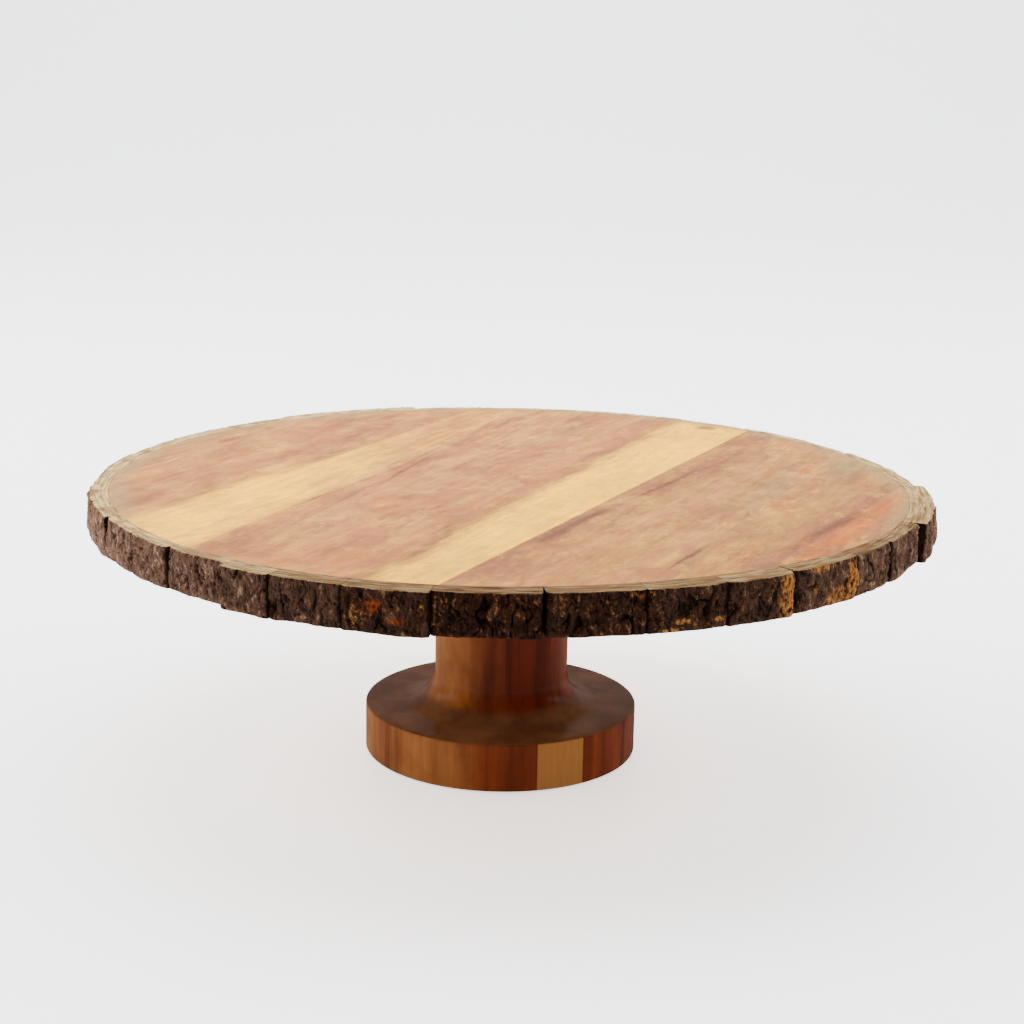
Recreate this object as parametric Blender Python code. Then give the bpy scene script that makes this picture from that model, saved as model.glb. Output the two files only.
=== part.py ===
"""A round footed cake stand, in metres and +Z up.

Three planks, glued edge to edge, make a round board. A ring of bark blocks is glued round its edge.
The board stands on a turned pedestal, which is a block of upright staves glued face to face. One bolt
through the pedestal screws into a threaded insert in the board, and two dowels stop the board from
turning. Four rubber feet sit in recesses under the pedestal.

The origin is under the centre of the board, at the surface that the feet stand on. The side that faces
-Y is the front. The pedestal is a little off centre, as such a stand often is.
"""

import math

import bmesh
import bpy
from mathutils import Matrix, Vector, noise

MM = 0.001
GLUE_GAP = 0.3 * MM  # left between pieces that touch

# The whole stand
HEIGHT = 103.4 * MM
BOARD_THICKNESS = 14.1 * MM

# The planks' edge, under the bark: a circle, cut a little flat on one side
BOARD_RADIUS = 147.0 * MM
FLAT_DEPTH = 4.5 * MM
FLAT_ANGLE = math.radians(-65)  # from +X, at the middle of the flat
FLAT_HALF_ANGLE = math.radians(33)

# The planks: their grain runs at this angle from +X, and each joint lies this far to the right of the centre
GRAIN_ANGLE = math.radians(64.1)
PLANK_NAMES = ("plank_left", "plank_centre", "plank_right")
PLANK_JOINTS = (-79 * MM, 44.3 * MM)

# The pedestal, turned round an upright axis through this point
PEDESTAL_AXIS = (-2.0 * MM, -1.5 * MM)
BASE_RADIUS = 51.5 * MM
BASE_THICKNESS = 18.0 * MM
BASE_LIFT = 0.4 * MM  # how far the feet hold the base off the surface
BASE_EDGE_ROUNDING = 0.8 * MM
STEM_RADIUS = 25.2 * MM
BASE_COVE_RADIUS = 12.0 * MM
FLANGE_RADIUS = 36.0 * MM
FLANGE_THICKNESS = 6.0 * MM
FLANGE_COVE_RADIUS = 9.0 * MM

# The staves: their joints are upright planes at this angle from +X, this far to the right of the axis
STAVE_ANGLE = math.radians(116.5)
STAVE_JOINTS = (-46.4 * MM, -28.1 * MM, -9.7 * MM, 8.8 * MM, 26.8 * MM, 45.1 * MM)

# The bolt, its washer and the insert that it screws into
BOLT_RADIUS = 3.0 * MM
BOLT_LENGTH = 80.0 * MM
BOLT_HEAD_RADIUS = 5.0 * MM
BOLT_HEAD_HEIGHT = 6.0 * MM
KEY_ACROSS_FLATS = 5.0 * MM
KEY_DEPTH = 3.0 * MM
BOLT_BORE_RADIUS = 3.5 * MM
COUNTERBORE_RADIUS = 10.0 * MM
COUNTERBORE_DEPTH = 20.0 * MM
WASHER_RADIUS = 9.0 * MM
WASHER_THICKNESS = 1.6 * MM
INSERT_RADIUS = 4.7 * MM
INSERT_LENGTH = 9.0 * MM
INSERT_FLANGE_RADIUS = 6.5 * MM
INSERT_FLANGE_THICKNESS = 1.2 * MM

# The dowels between the pedestal and the board
DOWEL_RADIUS = 3.0 * MM
DOWEL_OFFSET = 16.5 * MM  # from the axis, along the staves
DOWEL_IN_PEDESTAL = 12.0 * MM
DOWEL_IN_BOARD = 8.0 * MM
DOWEL_CHAMFER = 0.6 * MM

# The feet
FOOT_RADIUS = 6.0 * MM
FOOT_THICKNESS = 1.7 * MM
FOOT_CIRCLE_RADIUS = 42.0 * MM
FOOT_COUNT = 4

# The bark blocks, anticlockwise from the left: where each starts in degrees from +X, how wide the split
# before it is, and how far out it reaches, both in millimetres
BARK_BLOCKS = (
    (178, 0.4, 153.2), (187, 0.4, 153.4), (196.5, 0.6, 153.5), (206, 0.4, 152.6),
    (215.3, 0.5, 152.2), (223.9, 1.5, 151.8), (234.6, 0.4, 154.8), (241.6, 0.4, 154.6),
    (251.0, 0.7, 154.6), (261.4, 1.0, 152.6), (274.3, 1.6, 151.2), (286.3, 0.5, 151.4),
    (296.6, 0.4, 151.8), (306.6, 1.6, 151.2), (318.6, 0.5, 151.6), (327.5, 0.4, 152.0),
    (339.0, 1.6, 155.6), (351.5, 0.4, 155.2), (2, 0.4, 152.8), (14, 0.6, 151.8),
    (25, 0.4, 151.0), (34.5, 0.4, 151.2), (48, 1.4, 150.2), (60, 0.4, 150.6),
    (71, 0.6, 150.8), (83, 0.4, 151.2), (95, 0.4, 151.0), (106.5, 1.5, 155.0),
    (118, 0.5, 155.0), (130, 0.4, 153.2), (142, 0.8, 152.8), (154, 0.4, 153.0),
    (166, 0.5, 153.4),
)
BARK_FACETS = 7
BARK_ROUGHNESS = 0.9 * MM
BARK_NOISE_SIZE = 6.0 * MM
BARK_END_ROUNDING = 0.8 * MM
OPEN_SPLIT = 0.8 * MM  # a split at least this wide is an open one, and its sides are rounded twice as much

# Colours, roughness and metallic values
OILED_WOOD = ((0.58, 0.34, 0.20, 1), 0.4, 0.0)
RED_WOOD = ((0.24, 0.07, 0.02, 1), 0.35, 0.0)
PALE_WOOD = ((0.42, 0.22, 0.09, 1), 0.35, 0.0)
BARK = ((0.07, 0.035, 0.02, 1), 0.85, 0.0)
ZINC_STEEL = ((0.62, 0.63, 0.65, 1), 0.35, 1.0)
BRASS_METAL = ((0.75, 0.55, 0.25, 1), 0.3, 1.0)
BEECH = ((0.70, 0.52, 0.33, 1), 0.6, 0.0)
RUBBER = ((0.03, 0.03, 0.03, 1), 0.8, 0.0)

BASE_BOTTOM = BASE_LIFT
BASE_TOP = BASE_BOTTOM + BASE_THICKNESS
BOARD_BOTTOM = HEIGHT - BOARD_THICKNESS
PEDESTAL_TOP = BOARD_BOTTOM - GLUE_GAP
CUT_MARGIN = 5.0 * MM  # how far a cutter runs past the surface that it opens
ROUND_STEPS = 24
BOARD_STEPS = 120
PEDESTAL_STEPS = 72


def clear_scene():
    for item in list(bpy.data.objects):
        bpy.data.objects.remove(item)


def principled(name, finish):
    colour, roughness, metallic = finish
    made = bpy.data.materials.new(name)
    made.use_nodes = True
    shader = made.node_tree.nodes["Principled BSDF"]
    shader.inputs["Base Color"].default_value = colour
    shader.inputs["Roughness"].default_value = roughness
    shader.inputs["Metallic"].default_value = metallic
    made.diffuse_color = colour
    return made


def add_object(name, bm, finish=None):
    """The bmesh as a new object. One with no finish is a cutter or a guide, and isn't part of the stand."""
    bmesh.ops.recalc_face_normals(bm, faces=bm.faces)
    mesh = bpy.data.meshes.new(name)
    bm.to_mesh(mesh)
    bm.free()
    made = bpy.data.objects.new(name, mesh)
    bpy.context.scene.collection.objects.link(made)
    if finish is None:
        made.hide_render = True
        made.display_type = "WIRE"
    else:
        mesh.materials.append(principled(name, finish))
        mesh.shade_smooth()
        mesh.set_sharp_from_angle(angle=math.radians(30))
    return made


def boolean(target, operation, other):
    modifier = target.modifiers.new(f"{operation.lower()} {other.name}", "BOOLEAN")
    modifier.operation = operation
    modifier.object = other
    modifier.solver = "EXACT"


def join_loops(bm, lower, upper):
    count = len(lower)
    for i in range(count):
        j = (i + 1) % count
        bm.faces.new((lower[i], lower[j], upper[j], upper[i]))


def from_axis(angle, distance):
    """The (x, y) place at that angle and distance from the pedestal's axis."""
    return (PEDESTAL_AXIS[0] + distance * math.cos(angle), PEDESTAL_AXIS[1] + distance * math.sin(angle))


def board_edge(angle):
    """How far out from the board's centre the planks reach."""
    away = (angle - FLAT_ANGLE + math.pi) % (2 * math.pi) - math.pi
    return BOARD_RADIUS - FLAT_DEPTH * math.exp(-(away / FLAT_HALF_ANGLE) ** 2)


def turned(name, profile, steps, centre=PEDESTAL_AXIS, finish=None):
    """A solid turned round an upright axis through centre, from (radius, z) points on its outer side, bottom up."""
    bm = bmesh.new()
    rings = []
    for radius, z in profile:
        ring = []
        for i in range(steps):
            angle = 2 * math.pi * i / steps
            x = centre[0] + radius * math.cos(angle)
            y = centre[1] + radius * math.sin(angle)
            ring.append(bm.verts.new((x, y, z)))
        rings.append(ring)
    for lower, upper in zip(rings, rings[1:]):
        join_loops(bm, lower, upper)
    bm.faces.new(rings[0])
    bm.faces.new(rings[-1])
    return add_object(name, bm, finish)


def tube(name, profile, bore_radius, steps, finish):
    """A turned solid with a round bore all the way through it."""
    bottom, top = profile[0][1], profile[-1][1]
    outline = [(bore_radius, bottom), *profile, (bore_radius, top)]
    bm = bmesh.new()
    rings = []
    for radius, z in outline:
        ring = []
        for i in range(steps):
            x, y = from_axis(2 * math.pi * i / steps, radius)
            ring.append(bm.verts.new((x, y, z)))
        rings.append(ring)
    for lower, upper in zip(rings, rings[1:] + rings[:1]):
        join_loops(bm, lower, upper)
    return add_object(name, bm, finish)


def arc(centre, radius, start_degrees, end_degrees, steps):
    """(radius, z) points of a round stretch of a profile."""
    points = []
    for i in range(steps + 1):
        angle = math.radians(start_degrees + (end_degrees - start_degrees) * i / steps)
        points.append((centre[0] + radius * math.cos(angle), centre[1] + radius * math.sin(angle)))
    return points


def block_between(centre, angle, low, high, bottom, top, half_length):
    """An upright block whose length runs at angle from +X, between two offsets to the right of the centre."""
    bm = bmesh.new()
    bmesh.ops.create_cube(bm, size=1)
    middle = Vector((0, -(low + high) / 2, (bottom + top) / 2))
    size = Vector((2 * half_length, high - low, top - bottom))
    bmesh.ops.transform(bm, matrix=Matrix.Translation(middle) @ Matrix.Diagonal(size).to_4x4(), verts=bm.verts)
    turn = Matrix.Translation((*centre, 0)) @ Matrix.Rotation(angle, 4, "Z")
    bmesh.ops.transform(bm, matrix=turn, verts=bm.verts)
    return bm


def dowel_places():
    return [from_axis(STAVE_ANGLE, side * DOWEL_OFFSET) for side in (-1, 1)]


def foot_places():
    first = STAVE_ANGLE + math.pi / 4
    return [from_axis(first + 2 * math.pi * i / FOOT_COUNT, FOOT_CIRCLE_RADIUS) for i in range(FOOT_COUNT)]


def hole(name, radius, bottom, top, centre=PEDESTAL_AXIS):
    return turned(name, [(radius, bottom), (radius, top)], ROUND_STEPS, centre)


def board_blank():
    """The planks' outline, at their full thickness."""
    bm = bmesh.new()
    rings = []
    for z in (BOARD_BOTTOM, HEIGHT):
        ring = []
        for i in range(BOARD_STEPS):
            angle = 2 * math.pi * i / BOARD_STEPS
            radius = board_edge(angle)
            ring.append(bm.verts.new((radius * math.cos(angle), radius * math.sin(angle), z)))
        rings.append(ring)
    join_loops(bm, *rings)
    bm.faces.new(rings[0])
    bm.faces.new(rings[1])
    return add_object("board_blank", bm)


def make_planks():
    """Three planks, cut to one round board, with the holes for the insert and the dowels in the middle one."""
    blank = board_blank()
    edges = (-BOARD_RADIUS - CUT_MARGIN, *PLANK_JOINTS, BOARD_RADIUS + CUT_MARGIN)
    planks = []
    for name, low, high in zip(PLANK_NAMES, edges, edges[1:]):
        bm = block_between((0, 0), GRAIN_ANGLE, low + GLUE_GAP / 2, high - GLUE_GAP / 2,
                           BOARD_BOTTOM - CUT_MARGIN, HEIGHT + CUT_MARGIN, 2 * BOARD_RADIUS)
        plank = add_object(name, bm, OILED_WOOD)
        boolean(plank, "INTERSECT", blank)
        planks.append(plank)
    below = BOARD_BOTTOM - CUT_MARGIN
    flange_top = BOARD_BOTTOM + INSERT_FLANGE_THICKNESS + GLUE_GAP
    insert_top = BOARD_BOTTOM + INSERT_LENGTH + GLUE_GAP
    profile = [(INSERT_FLANGE_RADIUS + GLUE_GAP, below), (INSERT_FLANGE_RADIUS + GLUE_GAP, flange_top),
               (INSERT_RADIUS + GLUE_GAP, flange_top), (INSERT_RADIUS + GLUE_GAP, insert_top)]
    boolean(planks[1], "DIFFERENCE", turned("insert_hole", profile, ROUND_STEPS))
    for number, place in enumerate(dowel_places(), 1):
        cutter = hole(f"board_dowel_hole_{number}", DOWEL_RADIUS + GLUE_GAP, below,
                      BOARD_BOTTOM + DOWEL_IN_BOARD + GLUE_GAP, place)
        boolean(planks[1], "DIFFERENCE", cutter)


def pedestal_profile():
    """The pedestal's outline from the bottom up: base, cove, stem, cove and the flange under the board."""
    edge = BASE_EDGE_ROUNDING
    corner_radius = BASE_RADIUS - edge
    flange_bottom = PEDESTAL_TOP - FLANGE_THICKNESS
    base_cove_centre = (STEM_RADIUS + BASE_COVE_RADIUS, BASE_TOP + BASE_COVE_RADIUS)
    flange_cove_centre = (STEM_RADIUS + FLANGE_COVE_RADIUS, flange_bottom - FLANGE_COVE_RADIUS)
    return [
        *arc((corner_radius, BASE_BOTTOM + edge), edge, -90, 0, 2),
        *arc((corner_radius, BASE_TOP - edge), edge, 0, 90, 2),
        *arc(base_cove_centre, BASE_COVE_RADIUS, 270, 180, 6),
        *arc(flange_cove_centre, FLANGE_COVE_RADIUS, 180, 90, 5),
        (FLANGE_RADIUS, flange_bottom),
        (FLANGE_RADIUS, PEDESTAL_TOP),
    ]


def pedestal_cutters():
    """The holes in the pedestal: for the bolt and its head, for the dowels and for the feet."""
    below = BASE_BOTTOM - CUT_MARGIN
    above = PEDESTAL_TOP + CUT_MARGIN
    seat = BASE_BOTTOM + COUNTERBORE_DEPTH
    profile = [(COUNTERBORE_RADIUS, below), (COUNTERBORE_RADIUS, seat), (BOLT_BORE_RADIUS, seat),
               (BOLT_BORE_RADIUS, above)]
    cutters = [turned("bolt_hole", profile, ROUND_STEPS)]
    for number, place in enumerate(dowel_places(), 1):
        bottom = PEDESTAL_TOP - DOWEL_IN_PEDESTAL - GLUE_GAP
        cutters.append(hole(f"pedestal_dowel_hole_{number}", DOWEL_RADIUS + GLUE_GAP, bottom, above, place))
    for number, place in enumerate(foot_places(), 1):
        ceiling = FOOT_THICKNESS + GLUE_GAP
        cutters.append(hole(f"foot_recess_{number}", FOOT_RADIUS + GLUE_GAP, below, ceiling, place))
    return cutters


def reaches(cutter, low, high):
    """Whether a cutter crosses the band between two offsets to the right of the axis."""
    across = Vector((math.sin(STAVE_ANGLE), -math.cos(STAVE_ANGLE), 0))
    axis = Vector((*PEDESTAL_AXIS, 0))
    offsets = [(vertex.co - axis).dot(across) for vertex in cutter.data.vertices]
    return min(offsets) < high and max(offsets) > low


def make_staves():
    """The pedestal's staves. The outer ones are cut through by the turning, so the flange keeps two
    offcuts of its own."""
    blank = turned("pedestal_blank", pedestal_profile(), PEDESTAL_STEPS)
    cutters = pedestal_cutters()
    waist = (BASE_TOP + PEDESTAL_TOP) / 2
    under = BASE_BOTTOM - CUT_MARGIN
    over = PEDESTAL_TOP + CUT_MARGIN
    edges = (-BASE_RADIUS - CUT_MARGIN, *STAVE_JOINTS, BASE_RADIUS + CUT_MARGIN)

    def stave(name, low, high, bottom, top):
        low, high = low + GLUE_GAP / 2, high - GLUE_GAP / 2
        bm = block_between(PEDESTAL_AXIS, STAVE_ANGLE, low, high, bottom, top, 2 * BASE_RADIUS)
        made = add_object(name, bm, RED_WOOD)
        boolean(made, "INTERSECT", blank)
        for cutter in cutters:
            if reaches(cutter, low, high):
                boolean(made, "DIFFERENCE", cutter)

    for number, (low, high) in enumerate(zip(edges, edges[1:]), 1):
        through_stem = low < STEM_RADIUS and high > -STEM_RADIUS
        top = over if through_stem else waist
        stave(f"pedestal_stave_{number}", low, high, under, top)
    stave("flange_offcut_left", -FLANGE_RADIUS - CUT_MARGIN, STAVE_JOINTS[1], waist, over)
    stave("flange_offcut_right", STAVE_JOINTS[4], FLANGE_RADIUS + CUT_MARGIN, waist, over)


def bark_section(inner, outer, roughness_at):
    """(radius, z) points round a bark block's section, its top flush with the board."""
    levels = (0.0, 0.12, 0.4, 0.7, 0.93, 1.0)  # share of the thickness, bottom up
    set_back = (1.6 * MM, 0.4 * MM, 0.0, 0.0, 0.3 * MM, 0.9 * MM)
    points = [(inner, BOARD_BOTTOM)]
    for level, back in zip(levels, set_back):
        z = BOARD_BOTTOM + level * BOARD_THICKNESS
        points.append((outer - back + roughness_at(z), z))
    points.append((inner, HEIGHT))
    return points


def bark_block(name, start, end, outer, splits):
    """One block of bark between two angles, in radians. Its ends are rounded, and its outside is rough. The
    splits beside it, whose widths are given, close up towards the planks."""
    bm = bmesh.new()
    loops = []
    for i in range(BARK_FACETS + 1):
        share = i / BARK_FACETS
        angle = start + (end - start) * share
        rounding = BARK_END_ROUNDING * (2 if splits[share > 0.5] >= OPEN_SPLIT else 1)
        end_drop = rounding * abs(2 * share - 1) ** 5

        def roughness_at(z, angle=angle):
            place = Vector((outer * math.cos(angle), outer * math.sin(angle), z / 2)) / BARK_NOISE_SIZE
            return BARK_ROUGHNESS * noise.noise(place)

        inner = board_edge(angle) + GLUE_GAP
        closing = 0.0
        if i in (0, BARK_FACETS):
            closing = (splits[i > 0] - GLUE_GAP) / 2 / BOARD_RADIUS * (1 if i else -1)
        loop = []
        for radius, z in bark_section(inner, outer - end_drop, roughness_at):
            depth = max(0.0, (outer - radius) / (outer - inner))
            turn = angle + closing * depth
            loop.append(bm.verts.new((radius * math.cos(turn), radius * math.sin(turn), z)))
        loops.append(loop)
    for first, second in zip(loops, loops[1:]):
        join_loops(bm, first, second)
    bm.faces.new(loops[0])
    bm.faces.new(loops[-1])
    return add_object(name, bm, BARK)


def make_bark():
    following = BARK_BLOCKS[1:] + BARK_BLOCKS[:1]
    for number, (block, after) in enumerate(zip(BARK_BLOCKS, following), 1):
        start_degrees, split_before, outer = block
        end_degrees, split_after, _ = after
        if end_degrees < start_degrees:
            end_degrees += 360
        splits = (split_before * MM, split_after * MM)
        start = math.radians(start_degrees) + splits[0] / 2 / BOARD_RADIUS
        end = math.radians(end_degrees) - splits[1] / 2 / BOARD_RADIUS
        bark_block(f"bark_block_{number:02d}", start, end, outer * MM, splits)


def make_bolt():
    """The socket-head bolt, pointing up, with its washer above the head."""
    seat = BASE_BOTTOM + COUNTERBORE_DEPTH
    washer_top = seat - GLUE_GAP
    washer_bottom = washer_top - WASHER_THICKNESS
    profile = [(WASHER_RADIUS, washer_bottom), (WASHER_RADIUS, washer_top)]
    tube("washer", profile, BOLT_RADIUS + GLUE_GAP, ROUND_STEPS, ZINC_STEEL)

    head_top = washer_bottom - GLUE_GAP
    head_bottom = head_top - BOLT_HEAD_HEIGHT
    chamfer = BOLT_HEAD_HEIGHT / 10
    profile = [(BOLT_HEAD_RADIUS - chamfer, head_bottom), (BOLT_HEAD_RADIUS, head_bottom + chamfer),
               (BOLT_HEAD_RADIUS, head_top), (BOLT_RADIUS, head_top),
               (BOLT_RADIUS, head_top + BOLT_LENGTH - chamfer), (BOLT_RADIUS - chamfer, head_top + BOLT_LENGTH)]
    bolt = turned("bolt", profile, ROUND_STEPS, finish=ZINC_STEEL)
    corner_radius = KEY_ACROSS_FLATS / math.sqrt(3)
    profile = [(corner_radius, head_bottom - CUT_MARGIN), (corner_radius, head_bottom + KEY_DEPTH)]
    boolean(bolt, "DIFFERENCE", turned("hex_key_cutter", profile, 6))


def make_insert():
    """The flanged insert in the board's underside. Its thread is a plain bore that clears the bolt."""
    flange_top = BOARD_BOTTOM + INSERT_FLANGE_THICKNESS
    profile = [(INSERT_FLANGE_RADIUS, BOARD_BOTTOM), (INSERT_FLANGE_RADIUS, flange_top),
               (INSERT_RADIUS, flange_top), (INSERT_RADIUS, BOARD_BOTTOM + INSERT_LENGTH)]
    tube("threaded_insert", profile, BOLT_RADIUS + GLUE_GAP, ROUND_STEPS, BRASS_METAL)


def make_dowels():
    for number, place in enumerate(dowel_places(), 1):
        bottom = PEDESTAL_TOP - DOWEL_IN_PEDESTAL
        top = BOARD_BOTTOM + DOWEL_IN_BOARD
        profile = [(DOWEL_RADIUS - DOWEL_CHAMFER, bottom), (DOWEL_RADIUS, bottom + DOWEL_CHAMFER),
                   (DOWEL_RADIUS, top - DOWEL_CHAMFER), (DOWEL_RADIUS - DOWEL_CHAMFER, top)]
        turned(f"dowel_{number}", profile, ROUND_STEPS, place, BEECH)


def make_feet():
    for number, place in enumerate(foot_places(), 1):
        profile = [(FOOT_RADIUS, 0), (FOOT_RADIUS, FOOT_THICKNESS)]
        turned(f"rubber_foot_{number}", profile, ROUND_STEPS, place, RUBBER)


def main():
    clear_scene()
    make_planks()
    make_bark()
    make_staves()
    make_bolt()
    make_insert()
    make_dowels()
    make_feet()


main()
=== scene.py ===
"""The looks of a round footed cake stand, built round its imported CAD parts.

The board's planks, the bark blocks and the pedestal's staves are made again here in finer detail. The
hardware keeps its CAD shape and gets better materials. Everything is in metres, in the CAD's frame.
"""

import itertools
import math

import bmesh
import bpy
import numpy as np
from mathutils import Matrix, Vector


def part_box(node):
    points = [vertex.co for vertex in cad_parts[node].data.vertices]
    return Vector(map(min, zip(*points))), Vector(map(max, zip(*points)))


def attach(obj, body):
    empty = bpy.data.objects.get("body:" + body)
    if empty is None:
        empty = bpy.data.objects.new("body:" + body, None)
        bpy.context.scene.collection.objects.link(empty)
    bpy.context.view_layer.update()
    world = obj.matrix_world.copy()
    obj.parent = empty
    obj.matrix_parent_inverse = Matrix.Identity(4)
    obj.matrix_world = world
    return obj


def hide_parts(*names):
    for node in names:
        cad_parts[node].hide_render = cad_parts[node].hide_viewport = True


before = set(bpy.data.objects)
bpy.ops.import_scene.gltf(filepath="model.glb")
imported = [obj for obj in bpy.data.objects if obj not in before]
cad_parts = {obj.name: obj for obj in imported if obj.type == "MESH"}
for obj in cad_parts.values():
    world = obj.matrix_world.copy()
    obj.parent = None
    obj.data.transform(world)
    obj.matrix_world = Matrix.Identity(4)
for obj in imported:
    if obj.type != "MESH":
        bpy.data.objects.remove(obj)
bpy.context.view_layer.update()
MM = 0.001

# Places that come from the CAD
BOARD_BOTTOM, BOARD_TOP = (corner.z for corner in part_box("plank_centre"))
PEDESTAL_BOTTOM, PEDESTAL_TOP = (corner.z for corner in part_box("pedestal_stave_4"))
GRAIN_ANGLE = math.radians(64.1)
STAVE_ANGLE = math.radians(116.5)
PEDESTAL_AXIS = (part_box("bolt")[0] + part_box("bolt")[1]) / 2

CAD_HALF_GAP = 0.15 * MM  # half the CAD's gap between glued pieces
PLANK_HALF_GAP = 0.05 * MM  # half the hairline left here between glued planks
STAVE_HALF_GAP = 0.01 * MM  # half the hairline left here between glued staves
TO_MM = (1000, 1000, 1000)  # metres to mm, for a material
LAYER_SEEDS = 31  # between the seed of one layer of noise and the next


def across_line(angle):
    """The level direction to the right of a line at angle from +X."""
    return Vector((math.sin(angle), -math.cos(angle), 0))


def rim_of_planks():
    """The planks' edge in the CAD: angles from -pi to pi, and how far out the edge is at each."""
    corners = []
    for node in ("plank_left", "plank_centre", "plank_right"):
        corners += [v.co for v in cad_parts[node].data.vertices if v.co.z > BOARD_TOP - 0.1 * MM]
    radii = {round(math.atan2(v.y, v.x), 5): math.hypot(v.x, v.y) for v in corners}
    outer = {angle: radius for angle, radius in radii.items() if radius > 0.93 * max(radii.values())}
    angles = sorted(outer)
    return np.array(angles), np.array([outer[angle] for angle in angles])


RIM_ANGLES, RIM_RADII = rim_of_planks()


def board_edge(angles):
    """How far out the planks reach at each angle."""
    return np.interp(angles, RIM_ANGLES, RIM_RADII, period=2 * math.pi)


# ---------------------------------------------------------------- noise

def hashed(cell, seed):
    """A whole number for each row of whole numbers, the same every time."""
    mixed = cell[:, 0] * 374761393 + cell[:, 1] * 668265263 + cell[:, 2] * 2147483647 + seed * 144665
    mixed &= 0xFFFFFFFF
    mixed = ((mixed ^ (mixed >> 13)) * 1274126177) & 0xFFFFFFFF
    return mixed ^ (mixed >> 16)


def noise3(points, seed=0):
    """Smooth noise at each point, roughly from -1 to 1."""
    cell = np.floor(points).astype(np.int64)
    part = points - cell
    ease = part ** 3 * (part * (part * 6 - 15) + 10)
    total = np.zeros(len(points))
    for corner in itertools.product((0, 1), repeat=3):
        value = hashed(cell + corner, seed)
        slope = np.stack([value & 255, (value >> 8) & 255, (value >> 16) & 255], 1) / 127.5 - 1
        share = np.prod(np.where(corner, ease, 1 - ease), axis=1)
        total += share * ((part - corner) * slope).sum(1)
    return total * 1.5


def layered(points, seed, layers):
    """Noise with finer, weaker noise added to it."""
    total = np.zeros(len(points))
    for layer in range(layers):
        total += noise3(points * 2 ** layer, seed + LAYER_SEEDS * layer) / 2 ** layer
    return total


def crested(points, seed, layers):
    """Noise with sharp crests: 1 along each crest, and down to 0 between them."""
    total = np.zeros(len(points))
    for layer in range(layers):
        off_crest = np.abs(noise3(points * 2 ** layer, seed + LAYER_SEEDS * layer))
        total += (1 - np.clip(off_crest / 0.5, 0, 1)) ** 1.5 / 2 ** layer
    return total / (2 - 2 ** (1 - layers))


def smooth(value, low, high):
    """A soft step: 0 up to low, 1 from high on."""
    share = np.clip((value - low) / (high - low), 0, 1)
    return share * share * (3 - 2 * share)


# ---------------------------------------------------------------- materials

def srgb(red, green, blue):
    """A colour given from 0 to 255, as the shader's linear colour."""
    linear = [c / 255 / 12.92 if c <= 10 else ((c / 255 + 0.055) / 1.055) ** 2.4 for c in (red, green, blue)]
    return (*linear, 1)


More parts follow.
